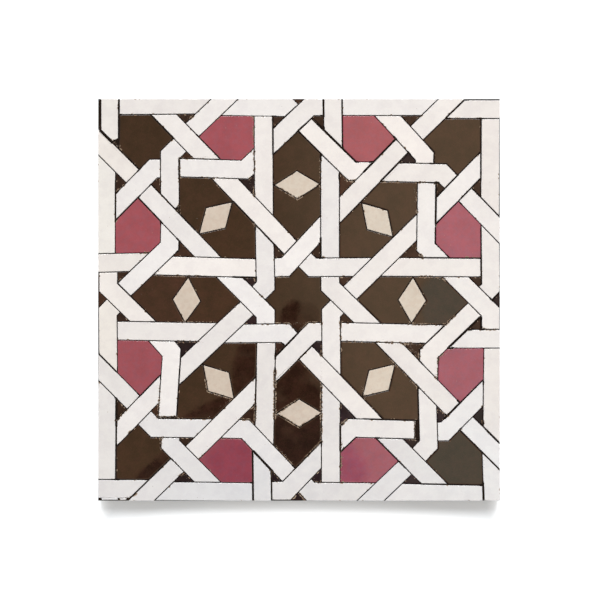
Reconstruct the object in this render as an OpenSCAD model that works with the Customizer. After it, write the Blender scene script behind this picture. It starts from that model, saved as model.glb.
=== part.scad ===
// A square mosaic tile of hand-cut glazed clay pieces set in mortar: white straps weave over and
// under each other round an eight-pointed star, and coloured pieces fill the fields between them.
// Millimetres. The origin is under the middle of the tile, with the glazed faces up.

/* [Figure] */
// Distance from the middle of the star to the flat sides of its two squares
star_size = 17.3; // [14:0.1:22]
// Radius of the circle that fits in a chip beside the star's straps
inner_chip_size = 3.2; // [2.2:0.1:5]
// Radius of the circle that fits in a chip along the border
outer_chip_size = 2.25; // [1.6:0.05:4]
// Short diagonal of a cream lozenge
lozenge_height = 20; // [12:0.5:26]
// Gap from a lozenge's tips to the joints beside them
lozenge_tip_gap = 0.9; // [0.3:0.1:2]

/* [Cut pieces] */
// Width of the white straps
strap_width = 13.1; // [9:0.1:17]
// Width of the mortar joint between two pieces
joint_width = 0.9; // [0.4:0.1:1.5]
// Thickness of the glazed clay pieces
piece_thickness = 10; // [6:0.5:16]
// What is ground off the border straps to square the tile
edge_trim = 0.84; // [0.2:0.02:2]

/* [Mortar] */
// Thickness of the mortar under the pieces
bed_thickness = 6; // [3:0.5:15]
// Depth of the joints below the glazed faces
joint_depth = 0.8; // [0.3:0.1:2]

/* [Laying] */
// How uneven the hand laying is: 0 lays every piece true
hand_laid = 1; // [0:0.1:1.2]

/* [Hidden] */
slant = sqrt(2);
// From the middle line of a strap to the far side of its joint
strap_reach = strap_width / 2 + joint_width;
// Distances from the tile's middle to the middle lines of the three sets of straps. A chip is what
// three of these lines leave between their straps, so the lines stand where its size puts them
star_line = star_size + strap_reach;
ring_line = ((inner_chip_size + strap_reach) * slant + star_line) / (slant - 1);
border_line = ((outer_chip_size + strap_reach) * slant) / (slant - 1) + slant * ring_line - star_line;
// Distance from the tile's middle to the middle of each hexagon
hexagon_middle = (star_line + ring_line) * slant / 2;
half_side = border_line + strap_width / 2 - edge_trim;
tile_side = 2 * half_side;
// Straps are drawn this far past the tile's edge, where they are cut off
reach = half_side + strap_width;
lozenge_length = 2 * (star_size - lozenge_tip_gap);

// The four kinds of strap, and the sides of the tile where the straps of a kind begin
LEFT_STAR = 0;
RIGHT_STAR = 1;
RISING_RING = 2;
FALLING_RING = 3;
KINDS = ["star_left_strap", "star_right_strap", "ring_rising_strap", "ring_falling_strap"];
SIDES = ["west", "north", "east", "south"];
// The eight directions from the star, clockwise from north
WINDS = ["north", "northeast", "east", "southeast", "south", "southwest", "west", "northwest"];

// What passes over a strap of each kind, in order along it: its kind, and its quarter turns further on
PASSES_OVER = [
    [[FALLING_RING, 3], [RIGHT_STAR, 1], [LEFT_STAR, 1], [RISING_RING, 1]],
    [[FALLING_RING, 3], [RIGHT_STAR, 1], [LEFT_STAR, 2], [RISING_RING, 2], [FALLING_RING, 2]],
    [[RISING_RING, 3], [FALLING_RING, 3], [RIGHT_STAR, 1], [LEFT_STAR, 1], [LEFT_STAR, 0]],
    [[RISING_RING, 3], [FALLING_RING, 3], [RISING_RING, 0], [LEFT_STAR, 0], [RIGHT_STAR, 3]],
];

// The first and last length of each kind of strap that show. The others would lie under the border
SHOWN = [[0, 4], [1, 4], [1, 5], [1, 5]];

// How far each length of each strap lies to the left of its true line, at its start and its end, as
// shares of the strap's width: by kind, then by the side it begins at, then along the strap
laid_shares = [
    [
        [[0.18, 0.28], [0.08, -0.11], [-0.08, 0.13], [0.08, 0.17], [0.09, 0.02]],
        [[0.02, 0.07], [-0.12, -0.12], [-0.12, -0.06], [0, -0.09], [-0.13, -0.11]],
        [[0.33, 0.34], [0.09, -0.07], [-0.06, -0.02], [0.01, -0.03], [-0.12, -0.18]],
        [[0.18, 0.24], [0.1, -0.03], [0.02, 0], [0.08, -0.06], [-0.17, -0.17]],
    ],
    [
        [[0.14, 0.03], [-0.05, 0], [0.03, -0.08], [-0.06, -0.07]],
        [[-0.14, -0.11], [-0.09, 0], [0.15, -0.05], [-0.15, -0.07]],
        [[0.06, 0.01], [0.02, 0.05], [0.15, -0.02], [-0.07, -0.13]],
        [[0.08, 0.07], [0.04, 0.07], [0.12, 0.05], [-0.05, 0.01]],
    ],
    [
        [[0.11, 0.15], [0.22, 0.03], [0.1, 0], [0.02, 0.02], [-0.15, -0.15]],
        [[0, -0.2], [-0.04, -0.12], [-0.11, -0.1], [0.06, 0], [-0.08, 0.08]],
        [[0.16, 0.18], [0.09, -0.07], [-0.2, -0.12], [-0.04, -0.11], [-0.22, -0.24]],
        [[0.02, 0], [0.21, -0.18], [-0.19, -0.14], [0, -0.03], [-0.21, -0.21]],
    ],
    [
        [[0.06, 0.12], [0.02, -0.03], [-0.04, 0], [-0.05, -0.15], [-0.07, -0.15]],
        [[-0.1, -0.12], [-0.12, -0.07], [0.15, 0.04], [-0.05, 0.08], [0.05, -0.06]],
        [[0.1, -0.02], [-0.04, -0.09], [0.16, 0], [0, -0.04], [-0.2, -0.23]],
        [[-0.03, -0.08], [-0.15, -0.09], [0.14, 0], [0.02, 0.03], [0.15, 0.04]],
    ],
];

// Lengths that were cut short of the strap they start under: the kind of strap, the side it begins at,
// the length along it, and how much is missing at its left and its right edge, as shares of the
// strap's width. A share below zero lets the cut run out before it reaches that edge
short_start_shares = [
    [RISING_RING, 1, 2, 0.16, 0.1],
    [RISING_RING, 2, 2, 0.21, 0.18],
    [RISING_RING, 3, 2, 0.13, 0.13],
    [RISING_RING, 3, 5, -1.2, 0.43],
    [FALLING_RING, 3, 4, -1.5, 0.46],
];

// How far each lozenge lies outward and clockwise of its true place, as shares of the strap's width,
// and the degrees that it is turned by
lozenge_laid_shares = [
    [0.03, -0.1], [-0.15, -0.06], [-0.07, 0.03], [-0.06, 0.03],
    [-0.06, -0.02], [0.03, -0.07], [-0.12, -0.03], [0.13, -0.06],
];
lozenge_turns = [1, -2.5, -2, 0, 1, -3, -4, -1];

white = [0.92, 0.9, 0.88];
cream = [0.86, 0.8, 0.73];
brown = [0.27, 0.2, 0.14];
rose = [0.63, 0.35, 0.38];
mortar = [0.45, 0.38, 0.31];

// A point after some clockwise quarter turns round the tile's middle
function turned(p, turns) = turns % 4 == 0 ? p : turned([p[1], -p[0]], turns % 4 - 1);

function mirrored(points) = [for (p = points) [-p[0], p[1]]];
function reversed(points) = [for (k = [len(points) - 1:-1:0]) points[k]];

// Middle line of a strap that starts at the west side
function west_line(kind) =
    kind == LEFT_STAR ? [
        [-reach, star_line],
        [-(slant - 1) * star_line, star_line],
        [reach - slant * star_line, reach],
    ] :
    kind == RIGHT_STAR ? [for (p = west_line(LEFT_STAR)) [p[0], -p[1]]] :
    kind == RISING_RING ? [
        [-reach, slant * border_line - reach],
        [ring_line - slant * border_line, ring_line],
        [-(slant - 1) * ring_line, ring_line],
        [border_line - slant * ring_line, border_line],
        [reach, border_line],
    ] :
    mirrored(reversed(west_line(RISING_RING)));

function strap_line(kind, turns) = [for (p = west_line(kind)) turned(p, turns)];

function left_of(direction) = [-direction[1], direction[0]] / norm(direction);

// Sideways vector at a bend, that keeps both edges of the strap parallel to its middle line
function bend_side(line, k) =
    let (before = left_of(line[k] - line[k - 1]), after = left_of(line[k + 1] - line[k]))
    (before + after) / (1 + before * after);

// Where another line crosses a strap's line: the place along it, the point, and the sideways vector
// along the other line
function crossing(line, other) = [
    for (k = [0:len(line) - 2], j = [0:len(other) - 2])
        let (
            way = line[k + 1] - line[k],
            other_way = other[j + 1] - other[j],
            scale = cross(way, other_way),
            share = cross(other[j] - line[k], other_way) / scale,
            other_share = cross(other[j] - line[k], way) / scale
        )
        if (scale != 0 && share >= 0 && share < 1 && other_share >= 0 && other_share < 1)
            [k + share, line[k] + share * way, other_way / (other_way * left_of(way))]
][0];

// Where a strap is cut off: its start, each place where another passes over it, and its end
function cuts(kind, turns) =
    let (line = strap_line(kind, turns), last = len(line) - 1)
    concat(
        [[0, line[0], left_of(line[1] - line[0])]],
        [for (over = PASSES_OVER[kind]) crossing(line, strap_line(over[0], turns + over[1]))],
        [[last, line[last], left_of(line[last] - line[last - 1])]]
    );

// Outline of one length of a strap, from one cut to the next
function length_outline(kind, turns, n, half_width) =
    let (
        line = strap_line(kind, turns),
        start = cuts(kind, turns)[n],
        end = cuts(kind, turns)[n + 1],
        bends = [
            for (k = [1:len(line) - 2])
                if (k > start[0] && k < end[0]) [k, line[k], bend_side(line, k)]
        ],
        shares = laid_shares[kind][turns][n - SHOWN[kind][0]],
        edge = function (side) [
            for (stop = concat([start], bends, [end]))
                let (
                    along = (stop[0] - start[0]) / (end[0] - start[0]),
                    laid = (shares[0] + (shares[1] - shares[0]) * along) * strap_width * hand_laid
                )
                stop[1] + stop[2] * (laid + side * half_width)
        ]
    )
    concat(edge(1), reversed(edge(-1)));

// Outline of the field that holds a hexagon north of the star
function hexagon_outline() = [
    [0, slant * star_line],
    [star_line, (slant + 1) * star_line],
    [star_line, slant * ring_line - star_line],
    [0, slant * ring_line],
    [-star_line, slant * ring_line - star_line],
    [-star_line, (slant + 1) * star_line],
];

// Outline of the rose field left of the north hexagon
function rose_outline() = [
    [-star_line, border_line],
    [-star_line, slant * ring_line - star_line],
    [-(slant - 1) * ring_line, ring_line],
    [slant * star_line - ring_line, ring_line],
    [(star_line - border_line) / slant, (star_line + border_line) / slant],
    [-(slant - 1) * border_line, border_line],
];

// Outline of the field in the north-west corner
function corner_outline() = [
    [-border_line, border_line],
    [-border_line, border_line - slant * star_line],
    [-(border_line + star_line) / slant, (border_line - star_line) / slant],
    [ring_line - slant * border_line, ring_line],
    [-ring_line, ring_line],
    [-ring_line, slant * border_line - ring_line],
    [-(border_line - star_line) / slant, (border_line + star_line) / slant],
    [slant * star_line - border_line, border_line],
];

module tile_outline() {
    square(tile_side, center = true);
}

// A strap along its whole line, with a rim of the given width added
module whole_strap(kind, turns, rim = 0) {
    for (n = [SHOWN[kind][0]:SHOWN[kind][1]])
        polygon(length_outline(kind, turns, n, strap_width / 2 + rim));
}

module all_straps(rim) {
    for (kind = [0:len(KINDS) - 1], turns = [0:3])
        whole_strap(kind, turns, rim);
}

// What is missing at the start of a length that was cut short
module missing_start(kind, turns, n, left_share, right_share) {
    line = strap_line(kind, turns);
    start = cuts(kind, turns)[n];
    way = line[floor(start[0]) + 1] - line[floor(start[0])];
    into = way / norm(way) * strap_width;
    across = start[2] * strap_width;
    near = start[1] + into * strap_reach / strap_width * norm(start[2]);
    left_end = near + across / 2 + into * left_share * hand_laid;
    right_end = near - across / 2 + into * right_share * hand_laid;
    span = left_end - right_end;
    intersection() {
        polygon([left_end + span, right_end - span, right_end - span - 2 * into, left_end + span - 2 * into]);
        polygon([start[1] + across, start[1] - across, start[1] - across + 2 * into, start[1] + across + 2 * into]);
    }
}

// The lengths of a strap that show between the straps that pass over it
module strap_lengths(kind, turns) {
    difference() {
        intersection() {
            tile_outline();
            whole_strap(kind, turns);
        }
        for (over = PASSES_OVER[kind])
            whole_strap(over[0], (turns + over[1]) % 4, joint_width);
        for (short = short_start_shares)
            if (short[0] == kind && short[1] == turns)
                missing_start(kind, turns, short[2], short[3], short[4]);
    }
}

// What the straps and their joints leave of a field
module field() {
    difference() {
        children();
        all_straps(joint_width);
    }
}

// The thin margin outside the border straps, which holds mortar and no chips, except between the two
// straps that meet the middle of each side
module margin() {
    difference() {
        tile_outline();
        square(2 * border_line, center = true);
        square([2 * star_line, 2 * reach], center = true);
        square([2 * reach, 2 * star_line], center = true);
    }
}

module star_field() {
    square(2 * star_line, center = true);
    rotate(45)
        square(2 * star_line, center = true);
}

module hexagon_field(wind) {
    rotate(-45 * wind)
        polygon(hexagon_outline());
}

// Puts its children at a lozenge's place, with x along the long diagonal and y outward
module at_lozenge(wind) {
    laid = lozenge_laid_shares[wind] * strap_width * hand_laid;
    rotate(-45 * wind)
        translate([laid[1], hexagon_middle + laid[0]])
            rotate(lozenge_turns[wind] * hand_laid)
                children();
}

module lozenge_outline(wind, rim = 0) {
    half_length = lozenge_length / 2;
    half_height = lozenge_height / 2;
    flank = norm([half_length, half_height]);
    x = half_length + rim * flank / half_height;
    y = half_height + rim * flank / half_length;
    at_lozenge(wind)
        polygon([[-x, 0], [0, y], [x, 0], [0, -y]]);
}

// The band that parts a hexagon's two halves along the lozenge's long diagonal
module hexagon_split(wind) {
    at_lozenge(wind)
        square([2 * reach, joint_width], center = true);
}

// The rose field at the left or right of a side, as seen from the tile's middle
module rose_field(turns, hand) {
    rotate(90 - 90 * turns)
        mirror([hand, 0])
            polygon(rose_outline());
}

// The corner field at the clockwise end of a side
module corner_field(turns) {
    rotate(-90 * turns)
        polygon(corner_outline());
}

module pieces() {
    translate([0, 0, bed_thickness])
        linear_extrude(piece_thickness)
            children();
}

module centre_star() {
    color(brown)
        pieces()
            field()
                star_field();
}

module lozenge(wind) {
    color(cream)
        pieces()
            field()
                lozenge_outline(wind);
}

// One half of a hexagon, cut round its lozenge: the inner one lies nearer the star
module hexagon_half(wind, outer) {
    color(brown)
        pieces()
            difference() {
                field()
                    intersection() {
                        hexagon_field(wind);
                        at_lozenge(wind)
                            translate([-reach, (outer - 1) * reach])
                                square([2 * reach, reach]);
                    }
                hexagon_split(wind);
                lozenge_outline(wind, joint_width);
            }
}

module rose_piece(turns, hand) {
    color(rose)
        pieces()
            field()
                rose_field(turns, hand);
}

module corner_piece(turns) {
    color(brown)
        pieces()
            field()
                corner_field(turns);
}

module strap(kind, turns) {
    color(white)
        pieces()
            strap_lengths(kind, turns);
}

// The small dark pieces on one side of the tile
module chips(turns) {
    color(brown)
        pieces()
            field()
                difference() {
                    intersection() {
                        tile_outline();
                        rotate(90 - 90 * turns)
                            polygon([[0, 0], [-reach, reach], [reach, reach]]);
                    }
                    margin();
                    star_field();
                    for (wind = [0:7])
                        hexagon_field(wind);
                    for (side = [0:3], hand = [0:1])
                        rose_field(side, hand);
                    for (side = [0:3])
                        corner_field(side);
                }
}

// The joints between the pieces, seen from above
module joints() {
    difference() {
        union() {
            intersection() {
                tile_outline();
                all_straps(joint_width);
            }
            margin();
        }
        for (kind = [0:len(KINDS) - 1], turns = [0:3])
            strap_lengths(kind, turns);
    }
    for (wind = [0:7])
        difference() {
            intersection() {
                hexagon_field(wind);
                union() {
                    hexagon_split(wind);
                    lozenge_outline(wind, joint_width);
                }
            }
            lozenge_outline(wind);
        }
}

module mortar_bed() {
    color(mortar) {
        translate([-half_side, -half_side, 0])
            cube([tile_side, tile_side, bed_thickness]);
        translate([0, 0, bed_thickness])
            linear_extrude(piece_thickness - joint_depth)
                joints();
    }
}

mortar_bed();
centre_star();
for (wind = [0:7]) {
    lozenge(wind);
    hexagon_half(wind, 0);
    hexagon_half(wind, 1);
}
for (turns = [0:3]) {
    rose_piece(turns, 0);
    rose_piece(turns, 1);
    corner_piece(turns);
    chips(turns);
    for (kind = [0:len(KINDS) - 1])
        strap(kind, turns);
}
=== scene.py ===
"""A hand-cut mosaic tile dressed for the camera: glazed clay pieces, mortar, crumbs and light.

Lengths are in metres. Every clay piece is rebuilt on the outline of its solid in the frame.
Tables whose names end in _PX hold places read from the photograph, in its pixels.
"""

import math
import random

import bpy
import bmesh
from mathutils import Matrix, Vector, noise


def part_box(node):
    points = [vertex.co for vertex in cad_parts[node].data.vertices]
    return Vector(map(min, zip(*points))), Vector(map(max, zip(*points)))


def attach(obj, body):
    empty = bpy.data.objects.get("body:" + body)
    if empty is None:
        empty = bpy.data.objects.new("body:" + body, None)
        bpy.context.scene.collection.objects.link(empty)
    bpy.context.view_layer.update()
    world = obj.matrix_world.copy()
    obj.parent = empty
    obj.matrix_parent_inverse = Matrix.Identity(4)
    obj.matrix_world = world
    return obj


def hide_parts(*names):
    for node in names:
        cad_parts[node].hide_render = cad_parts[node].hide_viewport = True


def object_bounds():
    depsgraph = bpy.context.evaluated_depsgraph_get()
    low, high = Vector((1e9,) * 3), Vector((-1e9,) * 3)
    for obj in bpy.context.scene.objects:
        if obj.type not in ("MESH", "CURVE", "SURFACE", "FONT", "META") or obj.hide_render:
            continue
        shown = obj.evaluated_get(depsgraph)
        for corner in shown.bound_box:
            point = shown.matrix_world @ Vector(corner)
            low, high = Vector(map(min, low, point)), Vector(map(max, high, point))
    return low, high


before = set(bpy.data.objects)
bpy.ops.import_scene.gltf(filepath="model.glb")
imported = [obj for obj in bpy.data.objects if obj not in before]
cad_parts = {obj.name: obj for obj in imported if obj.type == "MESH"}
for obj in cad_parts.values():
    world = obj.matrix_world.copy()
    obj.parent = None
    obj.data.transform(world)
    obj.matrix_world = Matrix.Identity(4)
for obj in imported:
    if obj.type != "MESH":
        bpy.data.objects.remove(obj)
cad_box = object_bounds()

MM = 0.001

# The photograph's side, the middle of the tile in it, and the tile's side
PHOTO_SIDE = 600
TILE_MIDDLE_PX = (299.0, 299.8)
TILE_SIDE_PX = 401.8

TILE_SIDE = cad_box[1].x - cad_box[0].x
EDGE = TILE_SIDE / 2
FACE_Z = cad_box[1].z
BED_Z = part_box("centre_star")[0].z
JOINT_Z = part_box("mortar_bed")[1].z
PX = TILE_SIDE / TILE_SIDE_PX

# Ragged, sandy stretches of joints: both ends, and how wide the ragged band is in joint widths
SANDY_STRETCHES_PX = [
    # North-west corner and hexagon
    (110, 139, 119, 141, 1.2), (113, 141, 121, 149, 1.0), (186, 119, 193, 117, 1.5),
    (117, 180, 126, 186, 1.2), (151, 176, 160, 181, 1.2), (154, 174, 157, 182, 1.0),
    (160, 197, 177, 206, 0.6), (178, 205, 178, 213, 1.0), (179, 159, 180, 180, 0.7),
    (202, 176, 228, 180, 0.8), (182, 158, 216, 156, 0.7), (140, 256, 147, 252, 1.0),
    # North hexagon and its neighbours
    (252, 116, 253, 160, 1.0), (253, 145, 254, 170, 1.3), (250, 178, 254, 196, 1.4),
    (281, 189, 297, 199, 0.9), (297, 199, 302, 196, 0.8), (255, 223, 259, 236, 0.8),
    (345, 180, 354, 181, 1.5), (320, 160, 320, 200, 0.5),
    # North-east corner and hexagon
    (414, 186, 418, 214, 1.4), (418, 183, 436, 184, 1.2), (424, 180, 431, 185, 1.2),
    (478, 125, 479, 127, 1.2), (383, 181, 400, 183, 0.7), (450, 118, 480, 118, 0.6),
    # Star
    (260, 297, 272, 289, 1.2), (279, 277, 290, 278, 0.8), (277, 323, 321, 323, 1.1),
    (285, 326, 297, 331, 1.0), (262, 320, 268, 324, 0.8), (296, 331, 305, 325, 0.6),
    # East hexagon and its neighbours
    (414, 247, 423, 257, 1.5), (420, 276, 446, 280, 1.4), (410, 324, 441, 326, 1.1),
    (442, 326, 455, 317, 1.3), (341, 321, 342, 341, 1.5), (344, 341, 376, 341, 0.7),
    (377, 341, 421, 345, 1.6), (408, 345, 420, 358, 1.5), (409, 347, 416, 353, 1.5),
    (436, 360, 455, 348, 1.6), (436, 361, 436, 380, 1.6), (482, 328, 500, 330, 1.2),
    (473, 256, 483, 257, 0.8),
    # South-east corner and hexagon
    (387, 357, 417, 387, 1.0), (362, 387, 364, 397, 1.1), (340, 425, 350, 418, 1.2),
    (415, 421, 415, 440, 1.0), (437, 407, 448, 416, 1.0), (478, 418, 486, 424, 1.0),
    # South hexagon and its neighbours
    (275, 372, 275, 418, 2.0), (321, 352, 321, 442, 1.3), (280, 413, 297, 399, 0.8),
    (280, 413, 297, 427, 1.2), (297, 427, 317, 414, 1.2), (254, 396, 255, 420, 1.2),
    (276, 445, 292, 463, 0.8), (306, 456, 320, 443, 0.8), (342, 440, 342, 482, 2.6),
    (236, 418, 250, 420, 1.2), (297, 492, 304, 500, 1.0), (312, 478, 320, 482, 1.0),
    # South-west corner and hexagon
    (158, 417, 177, 417, 1.4), (158, 385, 160, 414, 1.2), (162, 437, 162, 450, 1.6),
    (205, 380, 206, 390, 1.2), (206, 392, 231, 400, 0.9), (205, 420, 232, 398, 0.9),
    (172, 478, 183, 473, 1.1), (180, 472, 190, 481, 1.1), (198, 457, 216, 438, 0.9),
    (118, 498, 130, 498, 1.2), (121, 406, 127, 411, 1.1), (128, 410, 116, 421, 0.7),
    # West hexagon
    (160, 277, 200, 275, 0.7), (175, 322, 214, 322, 0.6), (178, 342, 203, 342, 0.8),
]

# Joints that stand open, wider and blacker than the rest: both ends, and how far open
OPEN_JOINTS_PX = [
    # North-west quarter
    (99, 100, 99, 130, 1.6), (100, 129, 113, 141, 1.8), (113, 141, 139, 170, 0.6),
    (119, 100, 118, 138, 1.0), (154, 118, 173, 137, 0.7), (198, 136, 217, 157, 0.5),
    (179, 160, 178, 177, 0.9), (152, 186, 193, 229, 0.5), (116, 183, 117, 220, 0.6),
    (117, 220, 138, 197, 0.7), (138, 197, 161, 222, 0.7), (178, 240, 178, 252, 0.7),
    (118, 282, 153, 321, 0.4), (274, 117, 274, 152, 0.7), (322, 100, 323, 115, 1.0),
    (300, 131, 314, 120, 1.0), (314, 120, 342, 148, 1.3), (342, 148, 356, 163, 1.1),
    (299, 132, 320, 154, 0.5), (320, 157, 339, 177, 0.9), (235, 203, 256, 228, 0.5),
    (235, 277, 256, 279, 0.9), (260, 230, 283, 252, 0.7), (283, 252, 295, 240, 0.5),
    # North-east quarter
    (341, 100, 342, 147, 0.6), (395, 138, 365, 170, 1.1), (448, 117, 467, 100, 0.7),
    (432, 148, 432, 162, 0.6), (410, 152, 382, 180, 0.9), (457, 176, 437, 197, 0.7),
    (481, 118, 481, 177, 0.6), (480, 178, 460, 203, 0.6), (460, 203, 437, 223, 0.6),
    (472, 190, 500, 217, 0.4), (437, 183, 437, 223, 1.0), (321, 240, 321, 257, 1.0),
    (434, 230, 434, 243, 0.7), (422, 256, 482, 258, 0.5), (481, 230, 482, 257, 0.6),
    (482, 258, 482, 283, 0.8), (491, 300, 500, 293, 0.8),
    # South-east quarter
    (482, 319, 482, 328, 1.1), (480, 319, 450, 348, 1.3), (442, 326, 421, 345, 0.6),
    (421, 347, 421, 363, 0.5), (365, 417, 415, 420, 0.6), (417, 387, 418, 440, 0.6),
    (459, 402, 446, 417, 1.1), (482, 383, 461, 402, 0.6), (483, 423, 500, 443, 1.0),
    (461, 430, 500, 468, 0.6), (483, 485, 484, 501, 1.2), (377, 438, 405, 466, 0.6),
    (422, 483, 484, 485, 0.5), (342, 425, 342, 450, 1.0), (342, 450, 355, 437, 0.5),
    (321, 443, 293, 468, 0.6),
    # South-west quarter
    (99, 355, 115, 370, 0.6), (183, 353, 182, 370, 0.6), (298, 330, 275, 357, 1.0),
    (299, 358, 313, 345, 0.6), (115, 400, 117, 424, 1.4), (117, 424, 117, 480, 0.7),
    (139, 395, 158, 378, 0.6), (128, 500, 171, 461, 0.5), (181, 370, 176, 415, 0.5),
    (253, 453, 271, 472, 1.2), (253, 453, 253, 501, 1.0), (271, 472, 272, 501, 0.6),
    (275, 370, 276, 382, 0.7), (256, 370, 254, 418, 0.5),
]

# Slips of pale clay wedged in at the lower left corner: their corners
SLIPS_PX = [
    [(101.4, 497.9), (117.6, 497.7), (118.0, 499.8), (101.8, 500.0)],
    [(119.6, 498.4), (127.2, 498.0), (126.2, 499.9), (120.4, 500.0)],
]

WINDS = ["north", "northeast", "east", "southeast", "south", "southwest", "west", "northwest"]
SIDES = ["west", "north", "east", "south"]
STRAPS = ["star_left_strap", "star_right_strap", "ring_rising_strap", "ring_falling_strap"]


def at_px(x, y):
    """A place on the tile, given by a pixel of the photograph."""
    return Vector(((x - TILE_MIDDLE_PX[0]) * PX, (TILE_MIDDLE_PX[1] - y) * PX))


def smooth(value, low, high):
    """0 below the low value, 1 above the high one, with a soft rise between."""
    share = min(1, max(0, (value - low) / (high - low)))
    return share * share * (3 - 2 * share)


def between(a, b, share):
    return tuple(x + (y - x) * share for x, y in zip(a, b))


# Cut edges

# How deep sandy edges break, and how far every hand-cut edge strays over a few millimetres
RAGGED = 0.5 * MM
WOBBLE = 0.12 * MM
WOBBLE_SIZE = 3.1 * MM

# How wide the patches are in which a sandy edge crumbles, in millimetres
PATCH = 4.3

# How near a stretch has to pass for its whole effect, and how far off that effect ends
SANDY_SPREAD = (0.9 * MM, 1.9 * MM)
OPEN_SPREAD = (1.6 * MM, 2.4 * MM)


def stretches(table):
    return [(at_px(x0, y0), at_px(x1, y1), width) for x0, y0, x1, y1, width in table]


SANDY_STRETCHES = stretches(SANDY_STRETCHES_PX)
OPEN_JOINTS = stretches(OPEN_JOINTS_PX)


def widths_along(points, table, full, none):
    """The greatest width of the stretches past each point: whole within full, 0 beyond none."""
    low = Vector((min(p.x for p in points) - none, min(p.y for p in points) - none))
    high = Vector((max(p.x for p in points) + none, max(p.y for p in points) + none))
    near = []
    for a, b, width in table:
        level_in_x = min(a.x, b.x) < high.x and max(a.x, b.x) > low.x
        level_in_y = min(a.y, b.y) < high.y and max(a.y, b.y) > low.y
        if level_in_x and level_in_y:
            near.append((a, b - a, width))
    result = []
    for point in points:
        most = 0
        for a, way, width in near:
            share = min(1, max(0, (point - a).dot(way) / way.length_squared))
            off = (point - a - way * share).length
            most = max(most, width * (1 - smooth(off, full, none)))
        result.append(most)
    return result


def raggedness(points):
    """How far an edge is broken away at each point, by the sandy stretches that run past it."""
    result = []
    for point, width in zip(points, widths_along(points, SANDY_STRETCHES, *SANDY_SPREAD)):
        seat = Vector((point.x, point.y, 0)) / MM
        broken = smooth(noise.noise(seat / PATCH), -0.4, 0.1)
        grain = max(0, 0.45 + noise.noise(seat * 0.9) + 0.7 * noise.noise(seat * 2.3))
        result.append(width * broken * grain * RAGGED)
    return result


def wobble(point):
    """How far a hand-cut edge strays inward at a point."""
    seat = Vector((point.x, point.y, 0)) / WOBBLE_SIZE
    return max(0, 0.5 + 0.5 * noise.noise(seat) + 0.35 * noise.noise(seat * 3.3)) * WOBBLE


class Chips:
    """Small conchoidal chips that cutting left along an outline."""

    def __init__(self, rng, length, rate):
        self.length = length
        self.spots = []
        for _ in range(round(length / MM * rate + rng.random())):
            deep = rng.uniform(0.1, 0.4) * MM * (2 if rng.random() < 0.1 else 1)
            self.spots.append((rng.random() * length, deep * rng.uniform(1.2, 3.0), deep))

    def depth(self, along):
        deepest = 0
        for place, reach, deep in self.spots:
            away = abs((along - place + self.length / 2) % self.length - self.length / 2)
            if away < reach:
                deepest = max(deepest, deep * (1 - (away / reach) ** 2))
        return deepest


# Outlines


def top_outlines(node):
    """The outlines of a node's top faces, counter-clockwise, as lists of points."""
    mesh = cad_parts[node].data
    edges = {}
    for face in mesh.polygons:
        points = [mesh.vertices[i].co for i in face.vertices]
        if min(p.z for p in points) < FACE_Z - 0.1 * MM:
            continue
        keys = [(round(p.x / MM, 3), round(p.y / MM, 3)) for p in points]
        for a, b in zip(keys, keys[1:] + keys[:1]):
            if (b, a) in edges:
                del edges[(b, a)]
            else:
                edges[(a, b)] = True
    following = {a: b for a, b in edges}
    outlines = []
    while following:
        start = min(following)
        outline = [start]
        step = following.pop(start)
        while step != start:
            outline.append(step)
            step = following.pop(step)
        outlines.append(tidy([Vector(p) * MM for p in outline]))
    return outlines


def cross2(a, b):
    return a.x * b.y - a.y * b.x


def tidy(points, shortest=0.9 * MM, straight=0.02):
    """Joins corners that lie very close and drops those that bend nothing."""
    points = list(points)
    changed = True
    while changed and len(points) > 3:
        changed = False
        for k in range(len(points)):
            before, here, after = points[k - 1], points[k], points[(k + 1) % len(points)]
            if (after - here).length < shortest:
                points[k] = (here + after) / 2
                del points[(k + 1) % len(points)]
                changed = True
                break
            bend = cross2((here - before).normalized(), (after - here).normalized())
            if abs(bend) < straight and (here - before).dot(after - here) > 0:
                del points[k]
                changed = True
                break
    return points


def left_of(way):
    return Vector((-way.y, way.x))


def inset(points, distance):
    """The outline moved inward by a distance, with its corners kept sharp."""
    result = []
    for k, here in enumerate(points):
        side_in = left_of((here - points[k - 1]).normalized())
        side_out = left_of((points[(k + 1) % len(points)] - here).normalized())
        result.append(here + (side_in + side_out) * (distance / (1 + side_in.dot(side_out))))
    return result


def area(points):
    return sum(cross2(a, b) for a, b in zip(points, points[1:] + points[:1])) / 2


def centre(points):
    return sum(points, Vector((0, 0))) / len(points)


# Pieces

# Rings of a clay piece, from its foot up over its lip: inset, drop below the glazed face, and how
# much it takes of the edge's wobble and of a chip
RINGS = [
    (0.0, None, 0.0, 0.0),
    (0.0, 1.6 * MM, 0.3, 0.0),
    (0.0, 0.5 * MM, 1.0, 0.15),
    (0.02 * MM, 0.16 * MM, 1.0, 0.55),
    (0.13 * MM, 0.03 * MM, 1.0, 1.0),
    (0.34 * MM, 0.0, 1.0, 1.1),
    (0.8 * MM, 0.0, 0.5, 0.6),
]
GLAZE_RING = 2
CHIP_RINGS = (3, 4, 5)
GLAZE, BISCUIT = 0, 1

EDGE_STEP = 0.6 * MM
CORNER_SHARE = 0.7
SHOWS_CLAY = 0.12 * MM

# A piece thinner than this takes smaller lips and chips
SLENDER = 2.2 * MM

# How high a piece may tilt out of level, and how deep it may be set
TILT = 0.04 * MM
SINK = 0.15 * MM

# How far the lips of straps and of coloured fields reach into the joints
STRAP_REACH, FIELD_REACH = 0.13 * MM, 0.28 * MM

SHARP_EDGE = math.radians(50)


def start_mesh():
    """A mesh in the making, with a layer that gives each piece its tone."""
    bm = bmesh.new()
    return bm, bm.verts.layers.float_color.new("tone")


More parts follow.
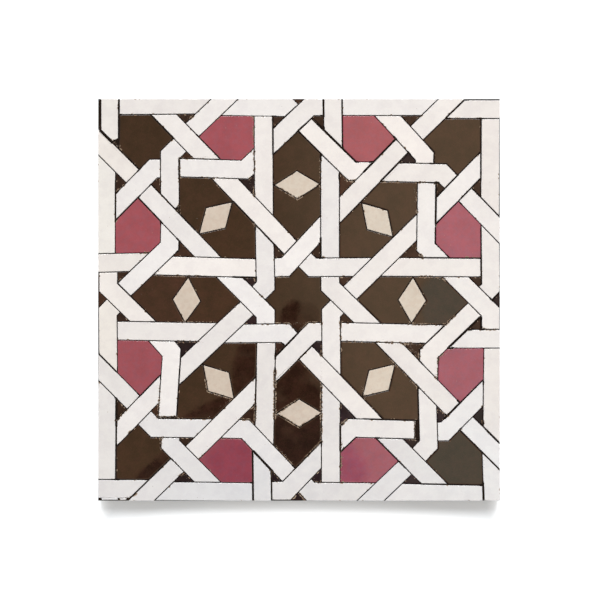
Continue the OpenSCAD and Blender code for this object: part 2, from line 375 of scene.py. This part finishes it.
def finish_piece(bm, name, materials):
    """Turns a mesh in the making into a piece of the tile's one body."""
    mesh = bpy.data.meshes.new(name)
    bm.to_mesh(mesh)
    bm.free()
    for material in materials:
        mesh.materials.append(material)
    piece = bpy.data.objects.new(name, mesh)
    bpy.context.scene.collection.objects.link(piece)
    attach(piece, "root")
    return piece


def keep_on_tile(point):
    point.x = min(max(point.x, cad_box[0].x), cad_box[1].x)
    point.y = min(max(point.y, cad_box[0].y), cad_box[1].y)


def edge_points(outline, lengths):
    """Points along an outline: side, share of that side, place, distance along, way inward."""
    result = []
    for k, here in enumerate(outline):
        after = outline[(k + 1) % len(outline)]
        side = left_of((after - here).normalized())
        corner_side = (side + left_of((here - outline[k - 1]).normalized())).normalized()
        steps = max(1, round(lengths[k] / EDGE_STEP))
        for j in range(steps):
            share = j / steps
            along = sum(lengths[:k]) + lengths[k] * share
            inward = side if j else corner_side * CORNER_SHARE
            result.append((k, share, here.lerp(after, share), along, inward))
    return result


def add_piece(bm, tone_layer, outline, rng, tone, chip_rate, ragged, reach, foot_z):
    """Adds one clay piece: foot, cut sides, glaze lip with chips, and the glazed face."""
    if area(outline) < 0:
        outline = outline[::-1]
    count = len(outline)
    lengths = [(outline[(k + 1) % count] - outline[k]).length for k in range(count)]
    total = sum(lengths)
    chips = Chips(rng, total, chip_rate)
    middle = centre(outline)
    span = max((p - middle).length for p in outline)
    lean = Vector((rng.uniform(-1, 1), rng.uniform(-1, 1))) * (TILT / span / 1.5)
    top = FACE_Z - TILT - rng.uniform(0, SINK)
    shrink = min(1, 2 * area(outline) / total / SLENDER)
    points = edge_points(outline, lengths)
    places = [place for _, _, place, _, _ in points]
    shifts = [
        wobble(place) + width * PX / 2 - reach
        for place, width in zip(places, widths_along(places, OPEN_JOINTS, *OPEN_SPREAD))
    ]
    bites = [
        max(chips.depth(along), rough * ragged)
        for (_, _, _, along, _), rough in zip(points, raggedness(places))
    ]
    rings = []
    for ring_inset, drop, wobble_share, chip_share in RINGS:
        corners = inset(outline, ring_inset * shrink)
        ring = []
        for (k, share, _, _, inward), shift, bite in zip(points, shifts, bites):
            point = corners[k].lerp(corners[(k + 1) % count], share)
            point = point + inward * (shift * wobble_share + bite * chip_share * shrink)
            keep_on_tile(point)
            z = foot_z if drop is None else top - drop + lean.dot(point - middle)
            vert = bm.verts.new((point.x, point.y, min(z, FACE_Z)))
            vert[tone_layer] = tone
            ring.append(vert)
        rings.append(ring)
    for level, (lower, upper) in enumerate(zip(rings, rings[1:])):
        for k in range(len(points)):
            after = (k + 1) % len(points)
            face = bm.faces.new((lower[k], lower[after], upper[after], upper[k]))
            face.smooth = True
            chipped = level + 1 in CHIP_RINGS and bites[k] > SHOWS_CLAY
            face.material_index = BISCUIT if level < GLAZE_RING or chipped else GLAZE
    bm.faces.new(rings[-1]).material_index = GLAZE
    bm.faces.new(rings[0][::-1]).material_index = BISCUIT


def dress(node, glaze, tone, chip_rate, ragged=1.0, reach=FIELD_REACH):
    """Replaces a node by detailed clay pieces, each in its own tone."""
    rng = random.Random("tile " + node)
    bm, tone_layer = start_mesh()
    for outline in sorted(top_outlines(node), key=lambda o: (round(o[0].x, 4), round(o[0].y, 4))):
        own_tone = (*tone(rng, centre(outline)), 1.0)
        add_piece(bm, tone_layer, outline, rng, own_tone, chip_rate, ragged, reach, BED_Z)
    bmesh.ops.recalc_face_normals(bm, faces=bm.faces)
    piece = finish_piece(bm, node + "_clay", (glaze, biscuit))
    piece.data.set_sharp_from_angle(angle=SHARP_EDGE)
    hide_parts(node)


# Materials


class Nodes:
    """A short way to write a node tree."""

    def __init__(self, tree):
        self.tree = tree
        self.tree.nodes.clear()

    def add(self, kind, inputs=None, **values):
        node = self.tree.nodes.new(kind)
        for name, value in values.items():
            setattr(node, name, value)
        for name, value in (inputs or {}).items():
            self.plug(node.inputs[name], value)
        return node

    def plug(self, socket, value):
        if isinstance(value, bpy.types.NodeSocket):
            self.tree.links.new(value, socket)
        else:
            socket.default_value = value

    def math(self, operation, a, b=0.0, c=0.0):
        return self.add("ShaderNodeMath", {0: a, 1: b, 2: c}, operation=operation).outputs[0]

    def vector(self, operation, a, b):
        return self.add("ShaderNodeVectorMath", {0: a, 1: b}, operation=operation).outputs[0]

    def axes(self, place):
        return self.add("ShaderNodeSeparateXYZ", {"Vector": place}).outputs

    def noise(self, place, size, detail=3.0, roughness=0.5):
        """Noise whose features are about a size in metres."""
        inputs = {"Vector": place, "Scale": 1 / size, "Detail": detail, "Roughness": roughness}
        return self.add("ShaderNodeTexNoise", inputs).outputs["Fac"]

    def cells(self, place, size):
        inputs = {"Vector": place, "Scale": 1 / size}
        return self.add("ShaderNodeTexVoronoi", inputs, feature="F1").outputs

    def ramp(self, value, low, high, to_low=0.0, to_high=1.0):
        """A soft step from one value to another."""
        ends = {"From Min": low, "From Max": high, "To Min": to_low, "To Max": to_high}
        inputs = {"Value": value, **ends}
        return self.add("ShaderNodeMapRange", inputs, interpolation_type="SMOOTHSTEP").outputs[0]

    def mix(self, factor, a, b, blend="MIX"):
        inputs = {0: factor, 6: a, 7: b}
        return self.add("ShaderNodeMix", inputs, data_type="RGBA", blend_type=blend).outputs[2]

    def tint(self, colour, by):
        return self.mix(1.0, colour, by, "MULTIPLY")

    def bump(self, height, distance, strength=1.0, under=None):
        """Bumps of a height, on top of those of another bump where one is given."""
        inputs = {"Height": height, "Distance": distance, "Strength": strength}
        if under is not None:
            inputs["Normal"] = under
        return self.add("ShaderNodeBump", inputs).outputs[0]

    def object_place(self):
        return self.add("ShaderNodeTexCoord").outputs["Object"]

    def tone(self):
        return self.add("ShaderNodeAttribute", attribute_name="tone").outputs["Color"]

    def surface(self, inputs):
        """Ends the tree with a surface of these inputs."""
        shader = self.add("ShaderNodeBsdfPrincipled", inputs)
        self.add("ShaderNodeOutputMaterial", {"Surface": shader.outputs[0]})


def new_material(name):
    material = bpy.data.materials.new(name)
    material.use_nodes = True
    return material, Nodes(material.node_tree)


def opaque(*rgb):
    return (*rgb, 1.0)


def grey(value):
    return opaque(value, value, value)


# Glaze: how wide its waves, pinholes and grain are, and how high its waves and ripples
WAVE_SIZE, WAVE_HEIGHT = 17 * MM, 0.008 * MM
RIPPLE_SIZE, RIPPLE_HEIGHT = 1.7 * MM, 0.0004 * MM
PINHOLE_SPACING, PINHOLE_DEPTH = 4.2 * MM, 0.05 * MM
GRAIN_SIZE, SPECKLE_SIZE = 1.1 * MM, 0.9 * MM


def glaze_material(
    name, mottle, mottle_size, stain, pinholes, pinhole_colour, roughness, specular=0.5
):
    """Glaze in the piece's own tone, mottled, with pinholes and a hand-dipped wavy surface."""
    material, n = new_material(name)
    place = n.object_place()
    tone = n.tone()
    cloud = n.noise(place, mottle_size, 4.0, 0.6)
    darker = n.tint(tone, grey(1 - mottle))
    lighter = n.tint(tone, grey(1 + mottle))
    colour = n.mix(n.ramp(cloud, 0.3, 0.7), darker, lighter)
    patches = n.ramp(n.noise(place, mottle_size / 3, 3.0, 0.55), 0.42, 0.62)
    colour = n.mix(patches, colour, n.tint(colour, opaque(*stain)))
    grain = n.noise(place, GRAIN_SIZE, 2.0)
    colour = n.tint(colour, n.ramp(grain, 0.3, 0.7, 1 - mottle / 2, 1 + mottle / 2))
    speckle = n.ramp(n.noise(place, SPECKLE_SIZE, 2.0), 0.62, 0.74, 0.0, 0.25 * mottle)
    colour = n.mix(speckle, colour, opaque(*pinhole_colour))
    cells = n.cells(place, PINHOLE_SPACING)
    chance = n.add("ShaderNodeSeparateColor", {"Color": cells["Color"]}).outputs[0]
    few = n.math("GREATER_THAN", chance, 1 - pinholes)
    hole = n.math("MULTIPLY", n.ramp(cells["Distance"], 0.03, 0.075, 1.0, 0.0), few)
    colour = n.mix(n.math("MULTIPLY", hole, 0.85), colour, opaque(*pinhole_colour))
    waves = n.bump(n.noise(place, WAVE_SIZE, 1.5, 0.45), WAVE_HEIGHT)
    ripples = n.bump(n.noise(place, RIPPLE_SIZE, 2.0), RIPPLE_HEIGHT, 1.0, waves)
    pits = n.bump(n.math("SUBTRACT", 1.0, hole), PINHOLE_DEPTH, 1.0, ripples)
    dull = n.ramp(n.noise(place, 5 * MM, 3.0), 0.3, 0.75, roughness * 0.6, roughness * 1.8)
    n.surface({
        "Base Color": colour,
        "Roughness": dull,
        "IOR": 1.5,
        "Specular IOR Level": specular,
        "Normal": pits,
    })
    return material


# Clay, mortar and dirt shine hardly at all
DULL_SPECULAR = 0.05


def biscuit_material():
    """The fired clay under the glaze, near black down in the joints: partly dirt, partly painted
    shade.
    """
    material, n = new_material("fired_clay")
    place = n.object_place()
    grain = n.noise(place, 0.7 * MM, 5.0, 0.65)
    cloud = n.noise(place, 6 * MM, 3.0)
    colour = n.mix(n.ramp(cloud, 0.3, 0.7), opaque(0.23, 0.155, 0.105), opaque(0.45, 0.35, 0.26))
    colour = n.mix(n.ramp(grain, 0.45, 0.7, 0.0, 0.7), colour, opaque(0.09, 0.05, 0.03))
    x, y, z = n.axes(place)
    # Painted shade with dirt: the clay's sides darken towards the foot of each joint, but not on
    # the tile's outer rim
    off_middle = n.math("MAXIMUM", n.math("ABSOLUTE", x), n.math("ABSOLUTE", y))
    inside = n.ramp(off_middle, EDGE - 0.8 * MM, EDGE - 0.5 * MM, 1.0, 0.0)
    deep = n.ramp(z, JOINT_Z + 0.1 * MM, JOINT_Z + 0.5 * MM, 0.93, 0.0)
    colour = n.mix(n.math("MULTIPLY", inside, deep), colour, opaque(0.008, 0.005, 0.0035))
    n.surface({
        "Base Color": colour,
        "Specular IOR Level": DULL_SPECULAR,
        "Roughness": n.ramp(grain, 0.3, 0.7, 0.8, 0.95),
        "Normal": n.bump(grain, 0.12 * MM),
    })
    return material


def mortar_material():
    """Mortar: grey-brown and sandy on the back and sides, near black down in the joints, as dark
    grout and dirt with painted shade.
    """
    material, n = new_material("mortar")
    place = n.object_place()
    sand = n.noise(place, 0.8 * MM, 4.0, 0.6)
    cloud = n.noise(place, 14 * MM, 4.0)
    body = n.mix(n.ramp(cloud, 0.3, 0.7), opaque(0.27, 0.24, 0.2), opaque(0.42, 0.38, 0.32))
    body = n.mix(n.ramp(sand, 0.4, 0.7, 0.0, 0.6), body, opaque(0.16, 0.13, 0.1))
    trowel = n.noise(n.vector("MULTIPLY", place, (0.16, 1.0, 1.0)), 5 * MM, 4.0, 0.6)
    body = n.mix(n.ramp(trowel, 0.42, 0.66, 0.0, 0.55), body, opaque(0.5, 0.46, 0.4))
    hole = n.ramp(n.cells(place, 7 * MM)["Distance"], 0.06, 0.13, 1.0, 0.0)
    # Painted shade: the pits are coloured darker than the mortar around them
    body = n.mix(n.math("MULTIPLY", hole, 0.8), body, opaque(0.07, 0.055, 0.042))
    # Dark grout and dirt, made near black as painted shade for the depth of the joints
    darkest_grout_and_shade, lighter_grout_and_shade = opaque(0.006, 0.0035, 0.0025), opaque(0.035, 0.023, 0.016)
    dirt = n.mix(n.ramp(sand, 0.35, 0.7), darkest_grout_and_shade, lighter_grout_and_shade)
    crumbly = n.ramp(n.noise(place, 9 * MM, 3.0, 0.6), 0.58, 0.7, 0.0, 0.45)
    joint = n.mix(crumbly, dirt, opaque(0.12, 0.085, 0.06))
    height = n.axes(place)["Z"]
    # The joints' floor takes the grout colour with its painted shade; the back and sides keep the
    # plain mortar
    colour = n.mix(n.ramp(height, JOINT_Z - 1.2 * MM, JOINT_Z - 0.3 * MM), body, joint)
    rough = n.bump(trowel, 0.6 * MM)
    rough = n.bump(sand, 0.2 * MM, 1.0, rough)
    rough = n.bump(n.cells(place, 1.3 * MM)["Distance"], 0.25 * MM, 0.6, rough)
    rough = n.bump(n.math("SUBTRACT", 1.0, hole), 0.5 * MM, 1.0, rough)
    n.surface({
        "Base Color": colour,
        "Specular IOR Level": DULL_SPECULAR,
        "Roughness": n.ramp(sand, 0.3, 0.7, 0.86, 0.97),
        "Normal": rough,
    })
    return material


def crumb_material():
    """Crumbs of clay and mortar in the joints, each in its own tone."""
    material, n = new_material("crumbs")
    grain = n.noise(n.object_place(), 0.25 * MM, 3.0)
    colour = n.mix(n.ramp(grain, 0.4, 0.7, 0.0, 0.6), n.tone(), opaque(0.05, 0.03, 0.02))
    n.surface({
        "Base Color": colour,
        "Roughness": n.ramp(grain, 0.3, 0.7, 0.85, 0.98),
        "Normal": n.bump(grain, 0.05 * MM),
    })
    return material


# Tones

WHITE, CREAMY_WHITE = (0.82, 0.796, 0.782), (0.785, 0.757, 0.715)
# The greyer white is the white under a painted dark reflection of the room
WHITE_UNDER_PAINTED_REFLECTION = (0.74, 0.737, 0.745)
CREAM, SANDY_CREAM = (0.635, 0.57, 0.49), (0.615, 0.53, 0.445)
ROSE, MAUVE, RICH_ROSE = (0.338, 0.07, 0.096), (0.345, 0.082, 0.127), (0.345, 0.068, 0.102)
BROWN, RUDDY_BROWN = (0.0275, 0.0108, 0.0068), (0.035, 0.0118, 0.0085)
CHIP_BROWN, CHIP_BLACK = (0.036, 0.0165, 0.011), (0.019, 0.01, 0.0125)

# Pieces whose middle lies this near the tile's middle are the star
STAR_REACH = 20 * MM
STAR_DARKNESS = 0.82


def varied(colour, rng, spread, warmth):
    """A colour made a little lighter or darker, and a little warmer or cooler."""
    light = 1 + rng.uniform(-spread, spread)
    warm = rng.uniform(-warmth, warmth)
    return (colour[0] * light * (1 + warm), colour[1] * light, colour[2] * light * (1 - warm))


def white_tone(rng, place):
    """White straps, creamier along the left edge and a little greyer towards the lower one, where
    the grey is a painted dark reflection.
    """
    colour = between(WHITE, CREAMY_WHITE, smooth(-place.x, 130 * MM, 145 * MM))
    # Painted reflection: greyer towards the lower edge, where the glaze would mirror the room's
    # dark side
    colour = between(colour, WHITE_UNDER_PAINTED_REFLECTION, smooth(-place.y, 30 * MM, 140 * MM))
    return varied(colour, rng, 0.045, 0.014)


def cream_tone(rng, place):
    """Cream lozenges, more sandy in the south-west."""
    sandy = smooth(-place.x - place.y / 2, -10 * MM, 30 * MM)
    return varied(between(CREAM, SANDY_CREAM, sandy), rng, 0.025, 0.01)


def rose_tone(rng, place):
    """Rose pieces, from a warm pink in the west to mauve in the south-east, darker to the south and
    darker still in the rich south-west, that darkening a painted dark reflection.
    """
    colour = between(ROSE, MAUVE, smooth(place.x - place.y, -100 * MM, 160 * MM))
    # Painted reflection: darker towards the lower edge, where the glaze would mirror the room's
    # dark side
    light = 1 - 0.12 * smooth(-place.y, 20 * MM, 50 * MM)
    if place.x < 0:
        rich_hue_and_painted_shade = smooth(-place.y, 80 * MM, 120 * MM)
        colour = between(colour, RICH_ROSE, rich_hue_and_painted_shade)
        # Painted reflection: the rich south-west is darkened further
        light -= 0.14 * rich_hue_and_painted_shade
    return varied([part * light for part in colour], rng, 0.03, 0.01)


def brown_tone(rng, place):
    """Brown fields, the star a little darker and the western hexagon a little redder."""
    ruddy = smooth(-place.x, 60 * MM, 80 * MM) * (1 - smooth(abs(place.y), 20 * MM, 50 * MM))
    light = STAR_DARKNESS if place.length < STAR_REACH else 1
    return varied([part * light for part in between(BROWN, RUDDY_BROWN, ruddy)], rng, 0.06, 0.04)


def chip_tone(rng, place):
    """Chips of brown glaze, or almost black, most of all towards the lower edge, where the extra
    black is a painted dark reflection.
    """
    # Partly own colour, partly painted reflection: more chips are almost black towards the lower
    # edge
    black_share_with_painted_dark = 0.9 if place.y < -120 * MM else 0.45 if place.y < 30 * MM else 0.2
    return varied(CHIP_BLACK if rng.random() < black_share_with_painted_dark else CHIP_BROWN, rng, 0.3, 0.1)


# Clay

biscuit = biscuit_material()
white_glaze = glaze_material(
    "white_glaze", mottle=0.025, mottle_size=20 * MM, stain=(0.965, 0.96, 0.97),
    pinholes=0.08, pinhole_colour=(0.3, 0.24, 0.19), roughness=0.08,
)
cream_glaze = glaze_material(
    "cream_glaze", mottle=0.03, mottle_size=9 * MM, stain=(0.96, 0.93, 0.92),
    pinholes=0.08, pinhole_colour=(0.33, 0.24, 0.16), roughness=0.1,
)
rose_glaze = glaze_material(
    "rose_glaze", mottle=0.06, mottle_size=12 * MM, stain=(0.93, 1.08, 1.1),
    pinholes=0.16, pinhole_colour=(0.5, 0.22, 0.2), roughness=0.03,
)
chip_glaze = glaze_material(
    "brown_glaze_chips", mottle=0.25, mottle_size=6 * MM, stain=(0.9, 1.0, 1.1),
    pinholes=0.2, pinhole_colour=(0.1, 0.065, 0.045), roughness=0.05, specular=0.2,
)
brown_glaze = glaze_material(
    "brown_glaze", mottle=0.26, mottle_size=10 * MM, stain=(0.92, 1.0, 0.9),
    pinholes=0.12, pinhole_colour=(0.1, 0.065, 0.045), roughness=0.018,
)

dress("centre_star", brown_glaze, brown_tone, 0.03)
for wind in WINDS:
    dress("lozenge_" + wind, cream_glaze, cream_tone, 0.03, reach=STRAP_REACH)
    for half in ("inner", "outer"):
        dress(f"hexagon_{wind}_{half}", brown_glaze, brown_tone, 0.03)
for side in SIDES:
    for hand in ("left", "right"):
        dress(f"rose_{side}_{hand}", rose_glaze, rose_tone, 0.04)
    dress("corner_" + side, brown_glaze, brown_tone, 0.03)
    dress("chips_" + side, chip_glaze, chip_tone, 0.08)
    for strap in STRAPS:
        dress(f"{strap}_{side}", white_glaze, white_tone, 0.02, 0.6, STRAP_REACH)

# Mortar

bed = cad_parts["mortar_bed"]
bed.data.materials.clear()
bed.data.materials.append(mortar_material())

# Crumbs

CRUMB_TONES = [
    (0.45, 0.36, 0.28),
    (0.3, 0.22, 0.16),
    (0.14, 0.095, 0.065),
    (0.08, 0.05, 0.035),
    (0.66, 0.6, 0.54),
]
CRUMBS_PER_MM = 3.2
CRUMB_SPREAD = 0.36 * MM

# Crumbs are dropped from this height, and those that would land deeper than a joint are left out
DROP_Z = 0.1
DEEPEST = 1 * MM


def add_crumb(bm, tone_layer, rng, place, size, tone):
    """Adds one angular crumb, half sunk in what lies under it."""
    made = bmesh.ops.create_icosphere(bm, subdivisions=1, radius=1)["verts"]
    turn = Matrix.Rotation(rng.uniform(0, math.tau), 3, "Z")
    for vert in made:
        shape = vert.co * rng.uniform(0.75, 1.2)
        shape = turn @ Vector((shape.x * size.x, shape.y * size.y, shape.z * size.z))
        vert.co = place + shape
        keep_on_tile(vert.co)
        vert.co.z = min(vert.co.z, FACE_Z)
        vert[tone_layer] = (*tone, 1.0)


def scatter_crumbs():
    """Strews crumbs along the sandy stretches, each on whatever surface lies there."""
    rng = random.Random("crumbs")
    bpy.context.view_layer.update()
    depsgraph = bpy.context.evaluated_depsgraph_get()
    bm, tone_layer = start_mesh()
    for a, b, width in SANDY_STRETCHES:
        way = b - a
        side = left_of(way).normalized()
        for _ in range(round(way.length / MM * CRUMBS_PER_MM * width)):
            spot = a + way * rng.random() + side * rng.gauss(0, CRUMB_SPREAD * width)
            if noise.noise(Vector((spot.x, spot.y, 0)) / (PATCH * MM)) < rng.uniform(-0.5, 0.1):
                continue
            start = (spot.x, spot.y, DROP_Z)
            hit, place, *_ = bpy.context.scene.ray_cast(depsgraph, start, (0, 0, -1))
            if not hit or place.z < JOINT_Z - DEEPEST:
                continue
            in_joint = place.z < FACE_Z - 0.5 * MM
            reach = (rng.uniform(0.14, 0.42) if in_joint else rng.uniform(0.05, 0.16)) * MM
            height = reach * (0.9 if in_joint else 0.5)
            size = Vector((reach, reach * rng.uniform(0.5, 1), height))
            add_crumb(bm, tone_layer, rng, place, size, rng.choice(CRUMB_TONES))
    finish_piece(bm, "crumbs", (crumb_material(),))


scatter_crumbs()

# Slips

SLIP_FOOT_Z = JOINT_Z - 0.5 * MM


def wedge_slips():
    """Sets the slips of pale clay on the mortar at the lower left corner."""
    rng = random.Random("slips")
    bm, tone_layer = start_mesh()
    for corners in SLIPS_PX:
        outline = [at_px(x, y) for x, y in corners]
        tone = (*white_tone(rng, outline[0]), 1.0)
        add_piece(
            bm, tone_layer, outline, rng, tone,
            chip_rate=0, ragged=0.3, reach=0, foot_z=SLIP_FOOT_Z,
        )
    bmesh.ops.recalc_face_normals(bm, faces=bm.faces)
    finish_piece(bm, "slips", (white_glaze, biscuit))


wedge_slips()

# Ground

GROUND_HALF = 6.0

# How brightly the ground glows in its painted shadow under the tile's lower edge, and far from it
GLOW_IN_PAINTED_SHADOW, GLOW_FAR = 0.15, 0.7

# The painted shadow ends, and the glow comes back, this far below the lower edge, and at its ends
# further out than at its middle
PAINTED_SHADOW_REACH = 21 * MM
PAINTED_SHADOW_BOW, GLOW_START = 12 * MM, 1 * MM


def ground_material():
    """A white ground that glows to the eye and in gloss, least of all at the tile's lower edge,
    where the dimmed glow paints a shadow.
    """
    material, n = new_material("ground")
    rays = n.add("ShaderNodeLightPath").outputs
    bounced = n.math("MAXIMUM", rays["Is Glossy Ray"], rays["Is Transmission Ray"])
    seen = n.math("MAXIMUM", rays["Is Camera Ray"], bounced)
    x, y, _ = n.axes(n.object_place())
    # Painted shadow: the glow is dimmed in a band below the tile's lower edge, longer under its
    # corners, deepening the lamp's own shadow there
    off_middle = n.math("DIVIDE", x, EDGE)
    bow = n.math("MULTIPLY", n.math("MULTIPLY", off_middle, off_middle), PAINTED_SHADOW_BOW)
    below = n.math("SUBTRACT", n.math("SUBTRACT", -EDGE, y), n.math("SUBTRACT", bow, GLOW_START))
    above = n.ramp(y, -EDGE + 3 * MM, -EDGE + 12 * MM)
    aside = n.ramp(n.math("ABSOLUTE", x), EDGE - 10 * MM, EDGE + 10 * MM)
    away = n.math("MAXIMUM", n.ramp(below, 0, PAINTED_SHADOW_REACH), n.math("MAXIMUM", above, aside))
    strength = n.math("MULTIPLY_ADD", away, GLOW_FAR - GLOW_IN_PAINTED_SHADOW, GLOW_IN_PAINTED_SHADOW)
    strength = n.math("MULTIPLY", seen, strength)
    plain = n.add("ShaderNodeBsdfDiffuse", {"Color": opaque(0.81, 0.845, 0.875)})
    glow = n.add("ShaderNodeEmission", {"Color": grey(1), "Strength": strength})
    both = n.add("ShaderNodeAddShader", {0: plain.outputs[0], 1: glow.outputs[0]})
    n.add("ShaderNodeOutputMaterial", {"Surface": both.outputs[0]})
    return material


def square(half):
    return [(-half, -half, 0), (half, -half, 0), (half, half, 0), (-half, half, 0)]


def lay_ground():
    """Lays the ground, open under the tile, whose back shows there from below."""
    quads = [(k, (k + 1) % 4, (k + 1) % 4 + 4, k + 4) for k in range(4)]
    mesh = bpy.data.meshes.new("ground")
    mesh.from_pydata(square(GROUND_HALF) + square(EDGE - 1 * MM), [], quads)
    mesh.materials.append(ground_material())
    ground = bpy.data.objects.new("ground", mesh)
    bpy.context.scene.collection.objects.link(ground)


lay_ground()

# Light and camera

EYE_HEIGHT = 1.5
PHOTO_MIDDLE = at_px(PHOTO_SIDE / 2, PHOTO_SIDE / 2)

SUN_STRENGTH = 2.08
SUN_ANGLE = 30
SUN_ELEVATION = 51

SENSOR_WIDTH = 36.0
VIEW_END = 50

# Ovals of the ceiling, placed by the spot of the tile that mirrors them: the middle, half the width
# and height, turn in degrees, softness of the rim, strength. The dark side of the room is mirrored
# from the star down to the lower edge
DARK_OVALS_PX = [
    (293, 308, 14, 9.5, -45, 0.12, 1),
    (292, 402, 50, 84, 0, 0.04, 1),
    (286, 474, 81, 46, 0, 0.05, 1),
    (254, 374, 27, 41, 0, 0.08, 1),
    (204, 420, 45, 15, -27, 0.1, 1),
    (156, 470, 36, 9, -36, 0.15, 1),
    (305, 322, 17, 16, 0, 0.2, 0.5),
    (311, 311, 12, 13, 0, 0.25, 0.35),
]
GLINTS_PX = [(312, 380, 12, 3.5, 45, 0.5, 1), (232, 346, 12, 2, -48, 0.5, 1)]
COOL_OVALS_PX = [(453, 300, 35, 50, 0, 0.1, 1), (470, 460, 60, 60, 0, 0.2, 1)]

# The ceiling as the glazes mirror it, from west to east, and its dark shapes
CEILING_WEST, CEILING_EAST = opaque(0.78, 0.52, 0.27), opaque(1.62, 1.17, 0.72)
CEILING_COOL = opaque(1.2, 1.2, 0.9)
SHADE_HIGH, SHADE_LOW = opaque(0.04, 0.016, 0.01), opaque(0.06, 0.05, 0.05)
SHADE_STREAKS = opaque(0.5, 0.33, 0.2)
ROOM = grey(0.53)


def room_light():
    """Even white light from all round, with the warm ceiling that the glazes mirror overhead."""
    world = bpy.data.worlds.new("room")
    world.use_nodes = True
    bpy.context.scene.world = world
    n = Nodes(world.node_tree)
    way = n.add("ShaderNodeTexCoord").outputs["Generated"]
    drift = n.add("ShaderNodeTexNoise", {"Vector": way, "Scale": 60.0, "Detail": 4.0})
    wander = n.vector("SUBTRACT", drift.outputs["Color"], (0.5, 0.5, 0.5))
    bent = n.vector("ADD", way, n.vector("MULTIPLY", wander, (0.008, 0.008, 0.008)))

    def mirrored(ovals):
        """The strongest of some ovals, 0 outside them all."""
        most = 0.0
        for x, y, wide, high, turn, soft, strength in ovals:
            spot = at_px(x, y) / EYE_HEIGHT
            moved = n.vector("SUBTRACT", bent, (spot.x, spot.y, 0))
            angle = {"Vector": moved, "Angle": math.radians(turn)}
            turned = n.add("ShaderNodeVectorRotate", angle, rotation_type="Z_AXIS").outputs[0]
            grow = (EYE_HEIGHT / (wide * PX), EYE_HEIGHT / (high * PX), 0)
            scaled = {0: n.vector("MULTIPLY", turned, grow)}
            distance = n.add("ShaderNodeVectorMath", scaled, operation="LENGTH").outputs["Value"]
            inside = n.ramp(distance, 1 - soft, 1 + soft, strength, 0.0)
            most = n.math("MAXIMUM", most, inside)
        return most

    glint = n.math("SUBTRACT", 1.0, n.math("MULTIPLY", mirrored(GLINTS_PX), 0.45))
    dark = n.math("MULTIPLY", mirrored(DARK_OVALS_PX), glint)
    x, y, z = n.axes(way)
    ceiling = n.mix(n.ramp(x, -0.04, 0.045), CEILING_WEST, CEILING_EAST)
    ceiling = n.mix(mirrored(COOL_OVALS_PX), ceiling, CEILING_COOL)
    low_down = n.ramp(y, at_px(0, 400).y / EYE_HEIGHT, at_px(0, 425).y / EYE_HEIGHT)
    shade = n.mix(low_down, SHADE_HIGH, SHADE_LOW)
    streaks = n.add("ShaderNodeTexNoise", {"Vector": bent, "Scale": 140.0, "Detail": 4.0})
    shade = n.mix(n.ramp(streaks.outputs["Fac"], 0.5, 0.72), shade, SHADE_STREAKS)
    ceiling = n.mix(n.math("MULTIPLY", dark, 0.96), ceiling, shade)
    colour = n.mix(n.ramp(z, 0.965, 0.985), ROOM, ceiling)
    light = n.add("ShaderNodeBackground", {"Color": colour, "Strength": 1.0})
    n.add("ShaderNodeOutputWorld", {"Surface": light.outputs[0]})


def sun_light():
    """A broad lamp that shines from the photograph's top edge."""
    data = bpy.data.lights.new("sun", "SUN")
    data.energy = SUN_STRENGTH
    data.angle = math.radians(SUN_ANGLE)
    light = bpy.data.objects.new("sun", data)
    light.matrix_world = Matrix.Rotation(math.radians(SUN_ELEVATION - 90), 4, "X")
    bpy.context.scene.collection.objects.link(light)


def photo_camera():
    """The photograph's camera, straight above the middle of its frame."""
    data = bpy.data.cameras.new("camera")
    data.sensor_width = SENSOR_WIDTH
    data.lens = data.sensor_width * (EYE_HEIGHT - FACE_Z) / (PHOTO_SIDE * PX)
    data.clip_end = VIEW_END
    camera = bpy.data.objects.new("camera", data)
    camera.location = (PHOTO_MIDDLE.x, PHOTO_MIDDLE.y, EYE_HEIGHT)
    bpy.context.scene.collection.objects.link(camera)
    bpy.context.scene.camera = camera


room_light()
sun_light()
photo_camera()
bpy.context.scene.view_settings.view_transform = "Standard"
